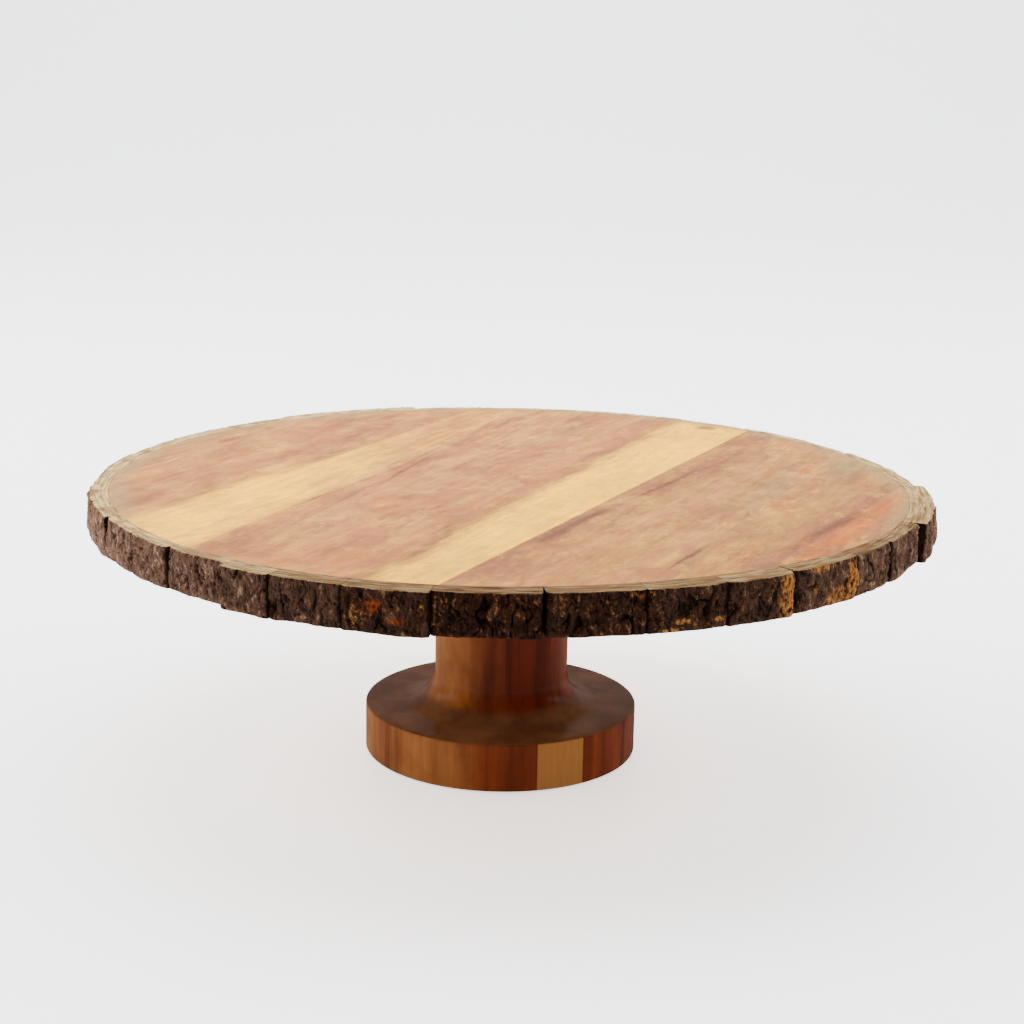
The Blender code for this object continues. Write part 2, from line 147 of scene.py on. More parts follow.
class Shader:
    """A Principled material, and short calls that add nodes to it."""

    def __init__(self, name, **values):
        self.material = bpy.data.materials.new(name)
        self.material.use_nodes = True
        self.tree = self.material.node_tree
        self.surface = self.tree.nodes["Principled BSDF"]
        for key, value in values.items():
            self.surface.inputs[key.replace("_", " ")].default_value = value
        self.place = self.add("ShaderNodeTexCoord").outputs["Object"]

    def add(self, kind, inputs=None, **settings):
        node = self.tree.nodes.new(kind)
        for key, value in settings.items():
            setattr(node, key, value)
        for key, value in (inputs or {}).items():
            if isinstance(value, bpy.types.NodeSocket):
                self.tree.links.new(value, node.inputs[key])
            else:
                node.inputs[key].default_value = value
        return node

    def mapped(self, scale, turn=0, vector=None, offset=(0, 0, 0)):
        inputs = {"Vector": vector or self.place, "Scale": scale, "Rotation": (0, 0, turn),
                  "Location": offset}
        return self.add("ShaderNodeMapping", inputs).outputs[0]

    def noise(self, vector, fineness=None, detail=3, roughness=0.55, distortion=0, turn=0, offset=(0, 0, 0)):
        """Noise that changes along each axis as fast as fineness says."""
        place = self.mapped(fineness, turn, vector, offset) if fineness else vector
        inputs = {"Vector": place, "Scale": 1, "Detail": detail, "Roughness": roughness,
                  "Distortion": distortion}
        return self.add("ShaderNodeTexNoise", inputs).outputs["Fac"]

    def math(self, operation, first, second=0.0, third=0.0):
        return self.add("ShaderNodeMath", {0: first, 1: second, 2: third}, operation=operation).outputs[0]

    def scaled(self, value, factor, added):
        return self.math("MULTIPLY_ADD", value, factor, added)

    def tinted(self, colour, value, start, full, strength, tint):
        """The colour, going over to the tint, up to its strength, as value goes from start to full."""
        return self.mix(self.span(value, start, full, 0, strength), colour, tint)

    def vector(self, operation, first, second=(0, 0, 0)):
        node = self.add("ShaderNodeVectorMath", {0: first, 1: second}, operation=operation)
        return node.outputs["Value" if operation == "LENGTH" else "Vector"]

    def span(self, value, low, high, to_low=0.0, to_high=1.0, kind="SMOOTHSTEP"):
        """Takes the span from low to high to the span from to_low to to_high."""
        inputs = {"Value": value, "From Min": low, "From Max": high, "To Min": to_low, "To Max": to_high}
        return self.add("ShaderNodeMapRange", inputs, interpolation_type=kind).outputs["Result"]

    def mix(self, share, first, second, blend="MIX"):
        node = self.add("ShaderNodeMix", data_type="RGBA", blend_type=blend)
        for key, value in ((0, share), (6, first), (7, second)):
            if isinstance(value, bpy.types.NodeSocket):
                self.tree.links.new(value, node.inputs[key])
            else:
                node.inputs[key].default_value = value
        return node.outputs[2]

    def ramp(self, value, stops):
        """A colour for each value from 0 to 1, from (value, colour) stops."""
        node = self.add("ShaderNodeValToRGB", {"Fac": value})
        elements = node.color_ramp.elements
        while len(elements) < len(stops):
            elements.new(0.5)
        for element, (position, colour) in zip(elements, stops):
            element.position = position
            element.color = colour
        return node.outputs["Color"]

    def grey(self, value):
        return self.join(value, value, value)

    def shaded(self, colour, value, low, high, darkest, lightest):
        """The colour, from darkest to lightest times as bright as value goes from low to high."""
        brightness = self.span(value, low, high, darkest, lightest, kind="LINEAR")
        return self.mix(1.0, colour, self.grey(brightness), blend="MULTIPLY")

    def off_middle(self, value):
        """How far the noise is from its middle value."""
        return self.math("ABSOLUTE", self.math("SUBTRACT", value, 0.5))

    def attribute(self, name):
        return self.add("ShaderNodeAttribute", attribute_name=name, attribute_type="GEOMETRY").outputs["Fac"]

    def split(self, vector):
        return self.add("ShaderNodeSeparateXYZ", {0: vector}).outputs

    def join(self, x, y, z=0.0):
        return self.add("ShaderNodeCombineXYZ", {0: x, 1: y, 2: z}).outputs[0]

    def bump(self, height, strength, distance):
        inputs = {"Height": height, "Strength": strength, "Distance": distance}
        normal = self.add("ShaderNodeBump", inputs).outputs[0]
        self.set("Normal", normal)
        self.set("Coat Normal", normal)

    def set(self, socket, value):
        self.tree.links.new(value, self.surface.inputs[socket])


# Finishes: a thin coat over dull wood
WAXED = {"Specular_IOR_Level": 0.0, "Coat_Weight": 0.03, "Coat_Roughness": 0.4}
VARNISHED = {"Specular_IOR_Level": 0.0, "Coat_Weight": 0.06, "Coat_Roughness": 0.24}
SEALED = {"Specular_IOR_Level": 0.0, "Coat_Weight": 0.03, "Coat_Roughness": 0.3}


def measured_from_axis(angle):
    """The pedestal axis's place across and along a line at angle, negated, in mm: a material adds it to
    measure from that axis."""
    along = Vector((math.cos(angle), math.sin(angle), 0))
    return (-PEDESTAL_AXIS.dot(across_line(angle)) / MM, -PEDESTAL_AXIS.dot(along) / MM, 0)


FLAME_TURN = math.radians(7)  # the figure runs at this angle to the grain
FROM_AXIS_ACROSS_GRAIN = measured_from_axis(GRAIN_ANGLE)
FROM_AXIS_ACROSS_STAVES = measured_from_axis(STAVE_ANGLE)

# The planks' colours
PINK = srgb(177, 121, 72)
ROSE = srgb(165, 106, 67)
PALE = srgb(250, 183, 49)
HONEY = srgb(204, 150, 69)
MAUVE = srgb(135, 88, 64)
DUSK = srgb(92, 64, 56)
TAN = srgb(158, 112, 64)
GREEN_GREY = srgb(130, 116, 80)
RIM_TAN = srgb(150, 124, 84)
ORANGE = srgb(178, 100, 50)

# Each plank's heartwood: where its colours lie across the grain, in mm to the right of the pedestal's axis
LEFT_STOPS = ((-145, TAN), (-134, PINK), (-124, PINK), (-112, ROSE), (-104, PINK), (-96, ROSE), (-88, PINK),
              (-76, ROSE))
CENTRE_STOPS = ((-82, PINK), (-66, ROSE), (-54, HONEY), (-49, PINK), (-42, ROSE), (-37, PINK), (-24, PINK),
                (-8, ROSE), (2, PINK), (10, ROSE), (18, TAN), (26, HONEY), (50, HONEY))
RIGHT_STOPS = ((44, TAN), (52, MAUVE), (60, TAN), (70, PINK), (84, TAN), (96, PINK), (104, TAN), (116, TAN),
               (126, MAUVE), (134, ORANGE), (146, MAUVE))
# Each plank's bands of sapwood: which side of its edge a band lies on, where the edge is at the plank's front
# and back as (mm along the grain, mm across it), and between which places along the grain the band fades out
LEFT_SAPWOOD = ((1, (-115, -81), (70, -79), (-60, 40)),)
CENTRE_SAPWOOD = (
    (-1, (-115, -48), (70, -65), (-60, 105)),
    (1, (-115, 27), (110, 12), None),
)

# The sawn bark's colours: its own dull grey-brown, and a paler copy of it with painted sheen, for where
# glancing light shines on the sawn top at the sides and back
DULL_SAWN = (
    (0.0, srgb(34, 24, 14)), (0.4, srgb(46, 32, 20)), (0.47, srgb(78, 56, 36)), (0.54, srgb(102, 78, 52)),
    (0.62, srgb(116, 90, 62)),
)
SAWN_WITH_PAINTED_SHEEN = (
    (0.0, srgb(92, 72, 46)), (0.38, srgb(128, 102, 66)), (0.47, srgb(172, 142, 94)),
    (0.54, srgb(190, 160, 108)), (0.62, srgb(204, 174, 122)),
)

# Single streaks: where (mm across the grain, mm along it), half width, half length, lean, strength, colour
LEFT_STREAKS = (
    (-103, -50, 7, 26, 0.05, 0.35, MAUVE), (-118, -8, 4, 30, 0.1, 0.3, MAUVE),
    (-92, 30, 3, 34, -0.1, 0.35, MAUVE), (-108, 62, 5, 26, 0, 0.3, DUSK),
    (-84, 84, 2.5, 30, -0.1, 0.4, MAUVE), (-97, -4, 2, 20, 0.1, 0.35, MAUVE),
    (-126, 22, 3, 22, 0, 0.3, MAUVE), (-88, -52, 2, 24, 0.1, 0.3, MAUVE),
)
CENTRE_STREAKS = (
    (-58, -36, 3, 26, -0.08, 0.55, PINK), (-60, 60, 2, 44, -0.08, 0.7, ORANGE),
    (-54, 96, 4, 30, -0.08, 0.5, ROSE), (38, -118, 9, 24, 0, 0.4, HONEY), (-57, 4, 3, 24, 0.1, 0.5, HONEY),
    (-37, -55, 1, 34, -0.1, 0.55, DUSK), (-42, 0, 1.2, 42, -0.13, 0.6, DUSK),
    (-50, 66, 2.2, 44, -0.16, 0.65, MAUVE), (-46.5, -50, 0.8, 50, 0, 0.45, DUSK),
    (-48.5, 20, 1, 34, -0.1, 0.45, DUSK), (-34, -84, 0.7, 12, -0.1, 0.5, DUSK),
    (-56, -84, 1, 30, 0, 0.3, MAUVE), (-40, 92, 1.4, 26, -0.1, 0.4, MAUVE),
    (-51, 104, 1.6, 22, -0.1, 0.5, DUSK), (10, -24, 1.5, 36, -0.04, 0.45, MAUVE),
    (19, -84, 3, 26, -0.1, 0.55, MAUVE), (3, -62, 1.2, 26, 0, 0.3, MAUVE),
    (14, -66, 0.8, 20, -0.05, 0.45, DUSK), (-10, 10, 2.5, 34, 0.05, 0.25, MAUVE),
    (-20, 90, 8, 40, 0, 0.25, GREEN_GREY), (28, 139, 5, 6, 0, 0.9, srgb(110, 68, 54)),
)
RIGHT_STREAKS = (
    (50, -44, 4, 40, 0.04, 0.75, DUSK), (54, 26, 2, 44, 0.05, 0.65, DUSK),
    (51, -66, 2.5, 12, 0.1, 0.6, DUSK), (58, 60, 1.5, 30, 0.05, 0.4, MAUVE),
    (94, -74, 3, 14, 0.05, 0.7, HONEY), (99.5, -66, 1.6, 24, 0.07, 0.75, DUSK),
    (103, -40, 4, 24, 0.08, 0.35, MAUVE), (128, -10, 4, 38, 0.12, 0.75, DUSK),
    (121, 0, 5, 30, 0.1, 0.3, MAUVE), (134, -24, 3, 20, 0.1, 0.6, ORANGE),
    (104, 96, 14, 30, -0.1, 0.7, GREEN_GREY), (112, 78, 4, 22, -0.1, 0.45, DUSK),
    (90, 40, 12, 44, 0, 0.35, GREEN_GREY), (70, -92, 3, 26, 0, 0.3, MAUVE),
    (84, -30, 2, 30, 0.05, 0.2, MAUVE),
)


def heartwood(shader, across, along, stops, lean, slow, quick):
    """The plank's colours across its grain, wandering as they run along it."""
    drift = shader.scaled(slow, 22, -11)
    drift = shader.scaled(quick, 12, shader.math("ADD", drift, -6))
    drift = shader.scaled(along, lean, drift)
    low, high = stops[0][0], stops[-1][0]
    share = shader.span(shader.math("ADD", across, drift), low, high, kind="LINEAR")
    return shader.ramp(share, [((place - low) / (high - low), tint) for place, tint in stops])


def figured(shader, place, colour, clouds):
    """The colour with clouds, long flames and blotches over it."""
    flames = shader.noise(place, (0.16, 0.022, 0.1), turn=FLAME_TURN, detail=5, distortion=0.9)
    blotches = shader.noise(place, (0.13, 0.06, 0.1), turn=-FLAME_TURN, detail=6, roughness=0.7,
                            distortion=0.3)
    for value, start, full, strength, tint in (
        (clouds, 0.5, 0.64, 0.6, MAUVE), (clouds, 0.47, 0.3, 0.55, HONEY),
        (flames, 0.55, 0.68, 0.65, MAUVE), (flames, 0.44, 0.32, 0.6, ORANGE),
        (blotches, 0.52, 0.62, 0.55, ROSE), (blotches, 0.47, 0.37, 0.4, HONEY),
    ):
        colour = shader.tinted(colour, value, start, full, strength, tint)
    return colour


def with_sapwood(shader, across, along, colour, bands, slow, clouds, ragged):
    """The colour with bands of sapwood, whose edges are soft and ragged."""
    pale = shader.tinted(PALE, clouds, 0.4, 0.65, 0.5, HONEY)
    wandering = shader.scaled(slow, 34, shader.math("ADD", across, -17))
    for side, (front, front_edge), (back, back_edge), fade in bands:
        edge = shader.span(along, front, back, front_edge, back_edge, kind="LINEAR")
        inside = shader.math("SUBTRACT", wandering, edge)
        inside = shader.scaled(ragged, 12, shader.math("ADD", inside, -6))
        amount = shader.span(inside, -6 * side, 6 * side)
        if fade:
            gone = shader.scaled(ragged, 50, shader.math("ADD", along, -25))
            amount = shader.math("MULTIPLY", amount, shader.span(gone, *fade, 1.0, 0.1))
        colour = shader.mix(amount, colour, pale)
    return colour


def with_streaks(shader, across, along, colour, streaks, quick, ragged):
    """The colour with the listed streaks over it, each a long spot with ragged edges."""
    small_drift = shader.scaled(quick, 5, -2.5)
    bent = shader.join(shader.math("ADD", across, small_drift), along)
    for s, t, half_width, half_length, tilt, strength, tint in streaks:
        inputs = {"Vector": bent, "Location": (s, t, 0), "Rotation": (0, 0, -math.atan(tilt)),
                  "Scale": (half_width, half_length, 1)}
        local = shader.add("ShaderNodeMapping", inputs, vector_type="TEXTURE").outputs[0]
        away = shader.vector("LENGTH", local)
        away = shader.scaled(ragged, 0.9, shader.math("ADD", away, -0.45))
        colour = shader.tinted(colour, away, 1.15, 0.1, strength, tint)
    return colour


def faded_at_rim(shader, colour, clouds):
    """The colour, going over to that of the ring of bark at the board's sides and back."""
    from_middle = shader.mapped((1000, 1000, 0))
    _, behind, _ = shader.split(from_middle)
    out = shader.math("ADD", shader.vector("LENGTH", from_middle), -8)
    out = shader.scaled(clouds, 16, out)
    rim = shader.math("MULTIPLY", shader.span(out, 136, 147, 0, 0.7), shader.span(behind, -95, -45))
    return shader.mix(rim, colour, RIM_TAN)


def plank_material(name, stops, sapwood, streaks, lean):
    """Oiled, sanded hardwood. Its colours run along the grain, and drift across it by lean."""
    shader = Shader(name, **WAXED)
    place = shader.mapped(TO_MM, turn=math.pi / 2 - GRAIN_ANGLE, offset=FROM_AXIS_ACROSS_GRAIN)
    across, along, _ = shader.split(place)
    slow = shader.noise(place, (0.022, 0.008, 0.02))
    quick = shader.noise(place, (0.1, 0.02, 0.05), detail=4, distortion=0.4)
    clouds = shader.noise(place, (0.045, 0.03, 0.05), offset=(7, 3, 0), detail=6, roughness=0.62,
                          distortion=0.7)
    ragged = shader.noise(place, (0.5, 0.06, 1), detail=4)
    colour = heartwood(shader, across, along, stops, lean, slow, quick)
    colour = figured(shader, place, colour, clouds)
    colour = with_sapwood(shader, across, along, colour, sapwood, slow, clouds, ragged)
    colour = with_streaks(shader, across, along, colour, streaks, quick, ragged)
    colour = faded_at_rim(shader, colour, clouds)

    bands = shader.noise(place, (0.34, 0.022, 0.1), detail=4, roughness=0.6, distortion=0.5)
    fibres = shader.noise(place, (1.5, 0.09, 0.6), detail=5, roughness=0.65)
    mottle = shader.noise(place, (0.24, 0.11, 0.1), detail=6, roughness=0.7, distortion=0.2)
    for value, darkest, lightest in ((bands, 0.86, 1.12), (fibres, 0.92, 1.06), (mottle, 0.78, 1.18)):
        colour = shader.shaded(colour, value, 0.28, 0.72, darkest, lightest)
    pores = shader.noise(place, (3.4, 0.16, 3.2), detail=2)
    dark = shader.span(pores, 0.6, 0.74, 0, 0.55)
    shader.set("Base Color", shader.mix(dark, colour, DUSK))
    shader.set("Roughness", shader.span(clouds, 0.3, 0.7, 0.4, 0.54, kind="LINEAR"))
    shader.bump(shader.scaled(dark, -0.6, fibres), 0.12, 0.1 * MM)
    return shader.material


def stave_material(name, colours, seed, pale_end=False):
    """Varnished hardwood with upright grain: long fibres down the sides, and duller end grain on top.
    Colours are its base, dark and light ones on the left, then the same on the right."""
    shader = Shader(name, **VARNISHED)
    place = shader.mapped(TO_MM, turn=math.pi / 2 - STAVE_ANGLE, offset=FROM_AXIS_ACROSS_STAVES)
    bands = shader.noise(place, (0.11, 0.06, 0.006), offset=(seed, 0, 0), detail=4, distortion=0.4)
    left, right = (shader.ramp(bands, ((0.0, dark), (0.36, dark), (0.5, base), (0.7, light), (1.0, light)))
                   for base, dark, light in colours)
    across, along, _ = shader.split(place)
    slanted = shader.scaled(along, STAVE_LEAN, across)
    colour = shader.mix(shader.span(slanted, *STAVE_FADE), left, right)
    dark = colours[1][1]
    blotches = shader.noise(place, (0.09, 0.09, 0.07), offset=(0, seed, 0), detail=4)
    colour = shader.tinted(colour, blotches, 0.45, 0.75, 0.35, dark)
    if pale_end:
        edge = shader.scaled(blotches, 3, along)
        colour = shader.mix(shader.span(edge, -45.5, -47.5), colour, PALE_STAVE)
    fibres = shader.noise(place, (1.5, 1.5, 0.04), detail=5, roughness=0.6)
    colour = shader.shaded(colour, fibres, 0.3, 0.7, 0.88, 1.08)
    normal = shader.add("ShaderNodeNewGeometry").outputs["Normal"]
    _, _, up = shader.split(normal)
    ends = shader.span(shader.math("ABSOLUTE", up), 0.52, 0.88)
    worn = shader.noise(place, (0.05, 0.05, 0.05), detail=5)
    end_colour = shader.tinted(END_GRAIN, worn, 0.35, 0.7, 0.8, WORN_END_GRAIN)
    colour = shader.mix(shader.math("MULTIPLY", ends, 0.96), colour, end_colour)
    specks = shader.noise(place, (2.2, 2.2, 0.1))
    speckled = shader.math("MULTIPLY", ends, shader.span(specks, 0.55, 0.72, 0, 0.4))
    colour = shader.mix(speckled, colour, END_SPECKS)
    shader.set("Base Color", colour)
    shader.set("Roughness", shader.span(ends, 0, 1, 0.3, 0.6, kind="LINEAR"))
    shader.bump(fibres, 0.05, 0.1 * MM)
    return shader.material


def sawn_bark(shader, place):
    """The colour of bark that was sawn through, and the height of its streaks, which follow the rim."""
    flat = shader.vector("MULTIPLY", place, (1, 1, 0))
    outward = shader.vector("NORMALIZE", flat)
    radius = shader.vector("LENGTH", flat)
    x, y, _ = shader.split(shader.vector("MULTIPLY", outward, (150, 150, 0)))
    polar = shader.join(shader.math("MULTIPLY", x, 0.08), shader.math("MULTIPLY", y, 0.08),
                        shader.math("MULTIPLY", radius, 1.0))
    rings = shader.noise(polar, detail=6, roughness=0.65, distortion=0.6)
    dull, pale = (shader.ramp(rings, stops) for stops in (DULL_SAWN, SAWN_WITH_PAINTED_SHEEN))
    # Painted sheen: each block's sawn top goes over from its dull colour to the paler copy as far as its
    # block's share says
    sawn = shader.mix(shader.attribute("sawn_painted_sheen"), dull, pale)
    patches = shader.noise(place, (0.12, 0.12, 0.12), detail=5)
    sawn = shader.tinted(sawn, patches, 0.5, 0.66, 0.55, srgb(96, 64, 42))
    return sawn, rings


def bark_crests(shader, place):
    """Thin bright crests, and the dark furrows between them."""
    crests = []
    for size, tall, half_width in ((0.32, 0.13, 0.02), (0.75, 0.36, 0.03)):
        field = shader.noise(place, (size, size, tall), offset=(tall, 0, 0), detail=4, roughness=0.6,
                             distortion=0.8)
        crests.append(shader.span(shader.off_middle(field), half_width, 0.0))
    field = shader.noise(place, (0.36, 0.36, 0.12), offset=(0, 9, 0), detail=4, distortion=0.6)
    furrow = shader.span(shader.off_middle(field), 0.022, 0.0)
    return shader.math("MAXIMUM", *crests), furrow


def bark_material():
    """Rough bark: dark in its cracks and hollows and paler on its crests, partly its own colour and partly
    painted shade and highlight, with ochre and rust patches. Its sawn faces are grey-brown, with streaks that
    follow the rim, and paler with painted sheen at the sides and back."""
    shader = Shader("bark", **SEALED)
    place = shader.mapped(TO_MM)
    tone_and_side_light = shader.attribute("tone_and_side_light")
    fine = shader.noise(place, (0.9, 0.9, 0.45), detail=6, roughness=0.7)
    crest, furrow = bark_crests(shader, place)
    hue = shader.noise(place, (0.12, 0.12, 0.09), detail=4)
    body = shader.mix(shader.span(hue, 0.35, 0.65), srgb(31, 16, 11), srgb(43, 23, 13))
    # Blocks paler towards the ends: partly their own colour, partly painted side light, which also pales
    # their crests and cracks
    body = shader.mix(tone_and_side_light, body, srgb(112, 84, 69))
    bright = shader.mix(tone_and_side_light, srgb(104, 68, 40), srgb(184, 154, 127))
    cracks = shader.mix(tone_and_side_light, srgb(10, 5, 3), srgb(48, 31, 22))
    # How lit each place is painted: darker in cracks, furrows, gullies and hollows and paler on crests and
    # ridges, partly the bark's own colour and partly painted shade and highlight
    relief_shading = shader.scaled(shader.attribute("relief_shading"), 0.7, -1.12)
    lit = shader.scaled(fine, 2.2, relief_shading)
    lit = shader.scaled(crest, 0.32, lit)
    lit = shader.scaled(furrow, -0.5, lit)
    colour = shader.tinted(body, lit, 0.2, 0.7, 0.9, bright)
    colour = shader.mix(shader.span(lit, -0.05, -0.65), colour, cracks)
    specks = shader.noise(place, (0.6, 0.6, 0.35), detail=6, roughness=0.75)
    for name, tint, shade in (("rust", srgb(108, 48, 18), srgb(64, 27, 11)),
                              ("ochre", srgb(148, 98, 50), srgb(66, 40, 20))):
        patchy = shader.mix(shader.span(fine, 0.42, 0.58), shade, tint)
        amount = shader.scaled(shader.attribute(name), 0.7, specks)
        share = shader.math("MULTIPLY", shader.span(amount, 0.75, 0.98), shader.span(lit, -0.6, 0.0, 0.1, 1))
        colour = shader.mix(share, colour, patchy)

    sawn, rings = sawn_bark(shader, place)
    cut = shader.scaled(fine, 0.9, shader.math("ADD", shader.attribute("sawn"), -0.45))
    cut = shader.span(cut, 0.35, 0.6)
    shader.set("Base Color", shader.mix(cut, colour, sawn))
    shader.set("Roughness", shader.span(cut, 0, 1, 0.7, 0.55, kind="LINEAR"))
    rough = shader.scaled(crest, 0.35, shader.scaled(furrow, -0.5, fine))
    shader.bump(shader.mix(cut, shader.grey(rough), shader.grey(rings)), 0.9, 0.6 * MM)
    return shader.material


def metal_material(name, colour, roughness):
    """Plain plated or turned metal with faint machining marks."""
    shader = Shader(name, Metallic=1.0)
    place = shader.mapped(TO_MM)
    marks = shader.noise(place, (0.6, 0.6, 3.0), detail=4)
    stains = shader.noise(place, (0.3, 0.3, 0.3))
    tint = tuple(0.8 * c for c in colour[:3])
    shader.set("Base Color", shader.mix(shader.span(stains, 0.35, 0.7, 0, 0.6), colour, (*tint, 1)))
    shader.set("Roughness", shader.span(marks, 0.3, 0.7, roughness - 0.08, roughness + 0.1, kind="LINEAR"))
    shader.bump(marks, 0.15, 0.05 * MM)
    return shader.material


def rubber_material():
    """Matt moulded rubber, a little dusty."""
    shader = Shader("rubber", Specular_IOR_Level=0.3)
    place = shader.mapped(TO_MM)
    dust = shader.noise(place, (0.5, 0.5, 0.5), detail=6, roughness=0.7)
    dusty = shader.span(dust, 0.4, 0.75, 0, 0.7)
    shader.set("Base Color", shader.mix(dusty, srgb(34, 33, 33), srgb(66, 63, 60)))
    shader.set("Roughness", shader.span(dust, 0.3, 0.7, 0.7, 0.9, kind="LINEAR"))
    shader.bump(dust, 0.3, 0.1 * MM)
    return shader.material


def dowel_material():
    """Bare beech, with short dark flecks along the dowel."""
    shader = Shader("beech", Roughness=0.65)
    place = shader.mapped(TO_MM)
    fibres = shader.noise(place, (1.5, 1.5, 0.1), detail=5)
    flecks = shader.noise(place, (3.0, 3.0, 0.6), detail=2)
    colour = shader.mix(shader.span(fibres, 0.3, 0.7), srgb(196, 158, 116), srgb(222, 188, 146))
    shader.set("Base Color", shader.tinted(colour, flecks, 0.62, 0.7, 0.6, srgb(150, 104, 66)))
    shader.bump(fibres, 0.2, 0.1 * MM)
    return shader.material


# ---------------------------------------------------------------- pieces

def add_object(name, data):
    """A new object in the scene."""
    added = bpy.data.objects.new(name, data)
    bpy.context.scene.collection.objects.link(added)
    return added


def finish_piece(name, mesh, material, node, sharp=35):
    """The mesh as a piece of the stand that shows in place of a CAD node."""
    piece = add_object(name, mesh)
    mesh.materials.clear()
    mesh.materials.append(material)
    mesh.shade_smooth()
    mesh.set_sharp_from_angle(angle=math.radians(sharp))
    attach(piece, "root")
    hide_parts(node)
    return piece


BOARD_STEPS = 360
PLANK_REACH = 0.1 * MM  # how far the planks reach past their CAD outline, towards the bark
EASED_EDGE = 0.12 * MM
OVERCUT = 5 * MM  # how far a cutter stands out of the wood
LOOSE = 0.2 * MM  # round a dowel or the insert, and past its end
FOOT_LOOSE = 0.3 * MM  # round a rubber foot and over it, and over the washer


def cut_meshes(bm, cutters):
    """The bmesh as a mesh, with the cutters' shapes taken out of it."""
    bmesh.ops.recalc_face_normals(bm, faces=bm.faces)
    mesh = bpy.data.meshes.new("cut")
    bm.to_mesh(mesh)
    bm.free()
    if not cutters:
        return mesh
    holder = add_object("cut", mesh)
    for cutter in cutters:
        modifier = holder.modifiers.new("cut", "BOOLEAN")
        modifier.operation = "DIFFERENCE"
        modifier.solver = "EXACT"
        modifier.object = cutter
    bpy.context.view_layer.update()
    shaped = bpy.data.meshes.new_from_object(holder.evaluated_get(bpy.context.evaluated_depsgraph_get()))
    bpy.data.objects.remove(holder)
    return shaped


def turned_bmesh(profile, steps, centre=PEDESTAL_AXIS):
    """A closed solid turned round an upright axis, from (radius, z) points, bottom up."""
    bm = bmesh.new()
    angles = [2 * math.pi * i / steps for i in range(steps)]
    rings = []
    for radius, z in profile:
        rings.append([bm.verts.new((centre[0] + radius * math.cos(a), centre[1] + radius * math.sin(a), z))
                      for a in angles])
    for lower, upper in zip(rings, rings[1:]):
        for i in range(steps):
            j = (i + 1) % steps
            bm.faces.new((lower[i], lower[j], upper[j], upper[i]))
    bm.faces.new(rings[0][::-1])
    bm.faces.new(rings[-1])
    return bm


def hole(radius, bottom, top, centre=PEDESTAL_AXIS, steps=48):
    """A round cutter. It shows in no render."""
    bm = turned_bmesh([(radius, bottom), (radius, top)], steps, centre)
    mesh = bpy.data.meshes.new("hole")
    bm.to_mesh(mesh)
    bm.free()
    return add_object("hole", mesh)


def cut_off(bm, point, direction):
    """Takes off what lies past a plane through the point, and closes the cut."""
    geometry = bm.verts[:] + bm.edges[:] + bm.faces[:]
    cut = bmesh.ops.bisect_plane(bm, geom=geometry, plane_co=point, plane_no=direction, clear_outer=True)
    edges = [g for g in cut["geom_cut"] if isinstance(g, bmesh.types.BMEdge)]
    if edges:
        bmesh.ops.holes_fill(bm, edges=edges)


def keep_between(bm, angle, low, high):
    """Cuts the solid down to the slice between two offsets to the right of the line at angle from +X through
    the origin. An offset of None leaves that side uncut."""
    across = across_line(angle)
    if low is not None:
        cut_off(bm, across * low, -across)
    if high is not None:
        cut_off(bm, across * high, across)


def offsets_of(piece, angle):
    """The lowest and highest offset of an object to the right of the line at angle from +X through the
    origin."""
    offsets = [vertex.co.dot(across_line(angle)) for vertex in piece.data.vertices]
    return min(offsets), max(offsets)


def ease_edges(bm, radius):
    """Rounds the slice's sharp edges a little."""
    sharp = [e for e in bm.edges if len(e.link_faces) == 2 and e.calc_face_angle(0) > math.radians(50)]
    bmesh.ops.bevel(bm, geom=sharp, offset=radius, segments=2, affect="EDGES", profile=0.6,
                    clamp_overlap=True)


def board_blank():
    """The planks' outline, at their full thickness."""
    bm = bmesh.new()
    angles = np.linspace(0, 2 * math.pi, BOARD_STEPS, endpoint=False)
    radii = board_edge(angles) + PLANK_REACH
    rings = [[bm.verts.new((r * math.cos(a), r * math.sin(a), z)) for a, r in zip(angles, radii)]
             for z in (BOARD_BOTTOM, BOARD_TOP)]
    for i in range(BOARD_STEPS):
        j = (i + 1) % BOARD_STEPS
        bm.faces.new((rings[0][i], rings[0][j], rings[1][j], rings[1][i]))
    bm.faces.new(rings[0][::-1])
    bm.faces.new(rings[1])
    return bm


def hole_for(node, clearance, bottom, top):
    """A cutter as wide as an upright CAD node and its clearance."""
    low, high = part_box(node)
    return hole((high.x - low.x) / 2 + clearance, bottom, top, (low + high) / 2)


def make_planks():
    left_joint, right_joint = offsets_of(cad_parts["plank_centre"], GRAIN_ANGLE)
    cutters = [hole_for(node, LOOSE, BOARD_BOTTOM - OVERCUT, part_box(node)[1].z + LOOSE)
               for node in ("dowel_1", "dowel_2", "threaded_insert")]
    slices = (
        ("plank_left", None, left_joint - CAD_HALF_GAP - PLANK_HALF_GAP,
         LEFT_STOPS, LEFT_SAPWOOD, LEFT_STREAKS, 0.0, []),
        ("plank_centre", left_joint - CAD_HALF_GAP + PLANK_HALF_GAP,
         right_joint + CAD_HALF_GAP - PLANK_HALF_GAP,
         CENTRE_STOPS, CENTRE_SAPWOOD, CENTRE_STREAKS, 0.05, cutters),
        ("plank_right", right_joint + CAD_HALF_GAP + PLANK_HALF_GAP, None,
         RIGHT_STOPS, (), RIGHT_STREAKS, -0.03, []),
    )
    for node, low, high, stops, sapwood, streaks, lean, holes in slices:
        bm = board_blank()
        keep_between(bm, GRAIN_ANGLE, low, high)
        ease_edges(bm, EASED_EDGE)
        mesh = cut_meshes(bm, holes)
        material = plank_material(node, stops, sapwood, streaks, lean)
        finish_piece(f"{node}_wood", mesh, material, node)
    for cutter in cutters:
        bpy.data.objects.remove(cutter)


